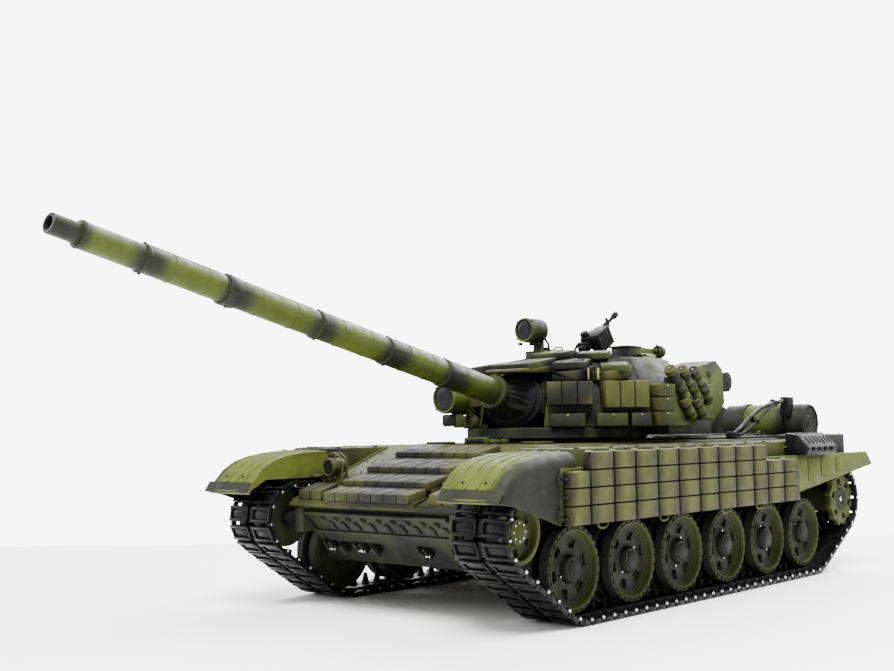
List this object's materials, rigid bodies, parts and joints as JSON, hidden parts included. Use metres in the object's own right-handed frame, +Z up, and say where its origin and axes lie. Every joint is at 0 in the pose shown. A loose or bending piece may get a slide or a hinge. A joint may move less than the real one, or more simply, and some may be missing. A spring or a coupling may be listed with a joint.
{
  "type": "radio-controlled tank model",
  "caption": "Radio-controlled battle tank model with turning turret, elevating gun, sprung road wheels on swing arms, steel tracks, reactive armour blocks and hatches that open.",
  "frame": {"origin": "on the ground under the middle of the bounding box", "axes": "+Z up, -Y towards the muzzle, +X the left side of the vehicle"},
  "size_m": [0.239, 0.601, 0.1971],
  "materials": {
    "green_plastic": "camouflage sprayed satin",
    "wheel_paint": "satin",
    "arm_metal": "satin",
    "track_metal": "blackened",
    "canvas": "matte",
    "dark_plastic": "satin",
    "dark_rubber": "matte",
    "electronics": "satin",
    "gear_metal": "cast"
  },
  "bodies": {
    "hull": {"lower_hull": "green_plastic", "upper_hull": "green_plastic", "engine_deck": "green_plastic", "bow_plate": "green_plastic", "glacis_armour": "green_plastic", "front_mudguards": "green_plastic", "side_skirts": "green_plastic", "skirt_armour": "green_plastic", "fender_tanks": "green_plastic", "exhaust_cover": "dark_plastic", "fuel_drums": "green_plastic", "headlights": "green_plastic", "battery_pack": "electronics", "circuit_board": "electronics", "drive_units": "gear_metal", "return_rollers": "green_plastic", "tow_cable": "dark_rubber", "track_left": "track_metal", "track_right": "track_metal"},
    "turret": {"turret_shell": "green_plastic", "turret_armour": "green_plastic", "smoke_launchers": "green_plastic", "turret_bins": "green_plastic", "gunner_sight": "green_plastic", "main_searchlight": "green_plastic"},
    "gun": {"gun_barrel": "green_plastic", "mantlet_cover": "canvas"},
    "cupola": {"cupola": "green_plastic"},
    "commander_hatch": {"commander_hatch": "green_plastic"},
    "gunner_hatch": {"gunner_hatch": "green_plastic"},
    "driver_hatch": {"driver_hatch": "green_plastic"},
    "machine_gun": {"machine_gun": "dark_plastic"},
    "sprocket_left": {"drive_sprocket_left": "wheel_paint"},
    "idler_left": {"idler_wheel_left": "wheel_paint"},
    "arm_left_1": {"swing_arm_left_1": "arm_metal"},
    "wheel_left_1": {"road_wheel_left_1": "wheel_paint"},
    "arm_left_2": {"swing_arm_left_2": "arm_metal"},
    "wheel_left_2": {"road_wheel_left_2": "wheel_paint"},
    "arm_left_3": {"swing_arm_left_3": "arm_metal"},
    "wheel_left_3": {"road_wheel_left_3": "wheel_paint"},
    "arm_left_4": {"swing_arm_left_4": "arm_metal"},
    "wheel_left_4": {"road_wheel_left_4": "wheel_paint"},
    "arm_left_5": {"swing_arm_left_5": "arm_metal"},
    "wheel_left_5": {"road_wheel_left_5": "wheel_paint"},
    "arm_left_6": {"swing_arm_left_6": "arm_metal"},
    "wheel_left_6": {"road_wheel_left_6": "wheel_paint"},
    "sprocket_right": {"drive_sprocket_right": "wheel_paint"},
    "idler_right": {"idler_wheel_right": "wheel_paint"},
    "arm_right_1": {"swing_arm_right_1": "arm_metal"},
    "wheel_right_1": {"road_wheel_right_1": "wheel_paint"},
    "arm_right_2": {"swing_arm_right_2": "arm_metal"},
    "wheel_right_2": {"road_wheel_right_2": "wheel_paint"},
    "arm_right_3": {"swing_arm_right_3": "arm_metal"},
    "wheel_right_3": {"road_wheel_right_3": "wheel_paint"},
    "arm_right_4": {"swing_arm_right_4": "arm_metal"},
    "wheel_right_4": {"road_wheel_right_4": "wheel_paint"},
    "arm_right_5": {"swing_arm_right_5": "arm_metal"},
    "wheel_right_5": {"road_wheel_right_5": "wheel_paint"},
    "arm_right_6": {"swing_arm_right_6": "arm_metal"},
    "wheel_right_6": {"road_wheel_right_6": "wheel_paint"}
  },
  "joints": [
    {"name": "sprocket_left_spin", "type": "hinge", "parent": "hull", "child": "sprocket_left", "pos_m": [0.0873, 0.26089, 0.0486], "axis": [1, 0, 0], "continuous": true},
    {"name": "idler_left_spin", "type": "hinge", "parent": "hull", "child": "idler_left", "pos_m": [0.0873, -0.09903, 0.0505], "axis": [1, 0, 0], "continuous": true},
    {"name": "arm_left_1_swing", "type": "hinge", "parent": "hull", "child": "arm_left_1", "pos_m": [0.063, -0.06626, 0.03614], "axis": [1, 0, 0], "range_deg": [0, 12], "stiffness_Nm_per_rad": 0.3, "springref_deg": -5.73},
    {"name": "wheel_left_1_spin", "type": "hinge", "parent": "arm_left_1", "child": "wheel_left_1", "pos_m": [0.0873, -0.05326, 0.02814], "axis": [1, 0, 0], "continuous": true},
    {"name": "arm_left_2_swing", "type": "hinge", "parent": "hull", "child": "arm_left_2", "pos_m": [0.063, -0.01161, 0.03614], "axis": [1, 0, 0], "range_deg": [0, 12], "stiffness_Nm_per_rad": 0.3, "springref_deg": -5.73},
    {"name": "wheel_left_2_spin", "type": "hinge", "parent": "arm_left_2", "child": "wheel_left_2", "pos_m": [0.0873, 0.00139, 0.02814], "axis": [1, 0, 0], "continuous": true},
    {"name": "arm_left_3_swing", "type": "hinge", "parent": "hull", "child": "arm_left_3", "pos_m": [0.063, 0.04144, 0.03614], "axis": [1, 0, 0], "range_deg": [0, 12], "stiffness_Nm_per_rad": 0.3, "springref_deg": -5.73},
    {"name": "wheel_left_3_spin", "type": "hinge", "parent": "arm_left_3", "child": "wheel_left_3", "pos_m": [0.0873, 0.05444, 0.02814], "axis": [1, 0, 0], "continuous": true},
    {"name": "arm_left_4_swing", "type": "hinge", "parent": "hull", "child": "arm_left_4", "pos_m": [0.063, 0.09449, 0.03614], "axis": [1, 0, 0], "range_deg": [0, 12], "stiffness_Nm_per_rad": 0.3, "springref_deg": -5.73},
    {"name": "wheel_left_4_spin", "type": "hinge", "parent": "arm_left_4", "child": "wheel_left_4", "pos_m": [0.0873, 0.10749, 0.02814], "axis": [1, 0, 0], "continuous": true},
    {"name": "arm_left_5_swing", "type": "hinge", "parent": "hull", "child": "arm_left_5", "pos_m": [0.063, 0.14754, 0.03614], "axis": [1, 0, 0], "range_deg": [0, 12], "stiffness_Nm_per_rad": 0.3, "springref_deg": -5.73},
    {"name": "wheel_left_5_spin", "type": "hinge", "parent": "arm_left_5", "child": "wheel_left_5", "pos_m": [0.0873, 0.16054, 0.02814], "axis": [1, 0, 0], "continuous": true},
    {"name": "arm_left_6_swing", "type": "hinge", "parent": "hull", "child": "arm_left_6", "pos_m": [0.063, 0.20059, 0.03614], "axis": [1, 0, 0], "range_deg": [0, 12], "stiffness_Nm_per_rad": 0.3, "springref_deg": -5.73},
    {"name": "wheel_left_6_spin", "type": "hinge", "parent": "arm_left_6", "child": "wheel_left_6", "pos_m": [0.0873, 0.21359, 0.02814], "axis": [1, 0, 0], "continuous": true},
    {"name": "sprocket_right_spin", "type": "hinge", "parent": "hull", "child": "sprocket_right", "pos_m": [-0.0873, 0.26089, 0.0486], "axis": [1, 0, 0], "continuous": true},
    {"name": "idler_right_spin", "type": "hinge", "parent": "hull", "child": "idler_right", "pos_m": [-0.0873, -0.09903, 0.0505], "axis": [1, 0, 0], "continuous": true},
    {"name": "arm_right_1_swing", "type": "hinge", "parent": "hull", "child": "arm_right_1", "pos_m": [-0.063, -0.06626, 0.03614], "axis": [1, 0, 0], "range_deg": [0, 12], "stiffness_Nm_per_rad": 0.3, "springref_deg": -5.73},
    {"name": "wheel_right_1_spin", "type": "hinge", "parent": "arm_right_1", "child": "wheel_right_1", "pos_m": [-0.0873, -0.05326, 0.02814], "axis": [1, 0, 0], "continuous": true},
    {"name": "arm_right_2_swing", "type": "hinge", "parent": "hull", "child": "arm_right_2", "pos_m": [-0.063, -0.01161, 0.03614], "axis": [1, 0, 0], "range_deg": [0, 12], "stiffness_Nm_per_rad": 0.3, "springref_deg": -5.73},
    {"name": "wheel_right_2_spin", "type": "hinge", "parent": "arm_right_2", "child": "wheel_right_2", "pos_m": [-0.0873, 0.00139, 0.02814], "axis": [1, 0, 0], "continuous": true},
    {"name": "arm_right_3_swing", "type": "hinge", "parent": "hull", "child": "arm_right_3", "pos_m": [-0.063, 0.04144, 0.03614], "axis": [1, 0, 0], "range_deg": [0, 12], "stiffness_Nm_per_rad": 0.3, "springref_deg": -5.73},
    {"name": "wheel_right_3_spin", "type": "hinge", "parent": "arm_right_3", "child": "wheel_right_3", "pos_m": [-0.0873, 0.05444, 0.02814], "axis": [1, 0, 0], "continuous": true},
    {"name": "arm_right_4_swing", "type": "hinge", "parent": "hull", "child": "arm_right_4", "pos_m": [-0.063, 0.09449, 0.03614], "axis": [1, 0, 0], "range_deg": [0, 12], "stiffness_Nm_per_rad": 0.3, "springref_deg": -5.73},
    {"name": "wheel_right_4_spin", "type": "hinge", "parent": "arm_right_4", "child": "wheel_right_4", "pos_m": [-0.0873, 0.10749, 0.02814], "axis": [1, 0, 0], "continuous": true},
    {"name": "arm_right_5_swing", "type": "hinge", "parent": "hull", "child": "arm_right_5", "pos_m": [-0.063, 0.14754, 0.03614], "axis": [1, 0, 0], "range_deg": [0, 12], "stiffness_Nm_per_rad": 0.3, "springref_deg": -5.73},
    {"name": "wheel_right_5_spin", "type": "hinge", "parent": "arm_right_5", "child": "wheel_right_5", "pos_m": [-0.0873, 0.16054, 0.02814], "axis": [1, 0, 0], "continuous": true},
    {"name": "arm_right_6_swing", "type": "hinge", "parent": "hull", "child": "arm_right_6", "pos_m": [-0.063, 0.20059, 0.03614], "axis": [1, 0, 0], "range_deg": [0, 12], "stiffness_Nm_per_rad": 0.3, "springref_deg": -5.73},
    {"name": "wheel_right_6_spin", "type": "hinge", "parent": "arm_right_6", "child": "wheel_right_6", "pos_m": [-0.0873, 0.21359, 0.02814], "axis": [1, 0, 0], "continuous": true},
    {"name": "turret_traverse", "type": "hinge", "parent": "hull", "child": "turret", "pos_m": [0, 0.06249, 0.1013], "axis": [0, 0, 1], "range_deg": [-150, 150]},
    {"name": "gun_elevation", "type": "hinge", "parent": "turret", "child": "gun", "pos_m": [0, 0.02849, 0.1166], "axis": [1, 0, 0], "range_deg": [-2, 17]},
    {"name": "cupola_turn", "type": "hinge", "parent": "turret", "child": "cupola", "pos_m": [-0.026, 0.09549, 0.145], "axis": [0, 0, 1], "range_deg": [-60, 60]},
    {"name": "commander_hatch_hinge", "type": "hinge", "parent": "cupola", "child": "commander_hatch", "pos_m": [-0.026, 0.08329, 0.1545], "axis": [1, 0, 0], "range_deg": [0, 90]},
    {"name": "gunner_hatch_hinge", "type": "hinge", "parent": "turret", "child": "gunner_hatch", "pos_m": [0.02, 0.09889, 0.1486], "axis": [1, 0, 0], "range_deg": [0, 90]},
    {"name": "driver_hatch_swing", "type": "hinge", "parent": "hull", "child": "driver_hatch", "pos_m": [0.012, -0.00551, 0.092], "axis": [0, 0, 1], "range_deg": [0, 90]},
    {"name": "machine_gun_elevation", "type": "hinge", "parent": "cupola", "child": "machine_gun", "pos_m": [-0.012, 0.11949, 0.16], "axis": [1, 0, 0], "range_deg": [-37, 20]}
  ],
  "couplings": [
    {"joint": "idler_left_spin", "follows": "sprocket_left_spin", "ratio": 1.0601},
    {"joint": "wheel_left_1_spin", "follows": "sprocket_left_spin", "ratio": 0.86513},
    {"joint": "wheel_left_2_spin", "follows": "sprocket_left_spin", "ratio": 0.86513},
    {"joint": "wheel_left_3_spin", "follows": "sprocket_left_spin", "ratio": 0.86513},
    {"joint": "wheel_left_4_spin", "follows": "sprocket_left_spin", "ratio": 0.86513},
    {"joint": "wheel_left_5_spin", "follows": "sprocket_left_spin", "ratio": 0.86513},
    {"joint": "wheel_left_6_spin", "follows": "sprocket_left_spin", "ratio": 0.86513},
    {"joint": "idler_right_spin", "follows": "sprocket_right_spin", "ratio": 1.0601},
    {"joint": "wheel_right_1_spin", "follows": "sprocket_right_spin", "ratio": 0.86513},
    {"joint": "wheel_right_2_spin", "follows": "sprocket_right_spin", "ratio": 0.86513},
    {"joint": "wheel_right_3_spin", "follows": "sprocket_right_spin", "ratio": 0.86513},
    {"joint": "wheel_right_4_spin", "follows": "sprocket_right_spin", "ratio": 0.86513},
    {"joint": "wheel_right_5_spin", "follows": "sprocket_right_spin", "ratio": 0.86513},
    {"joint": "wheel_right_6_spin", "follows": "sprocket_right_spin", "ratio": 0.86513}
  ]
}
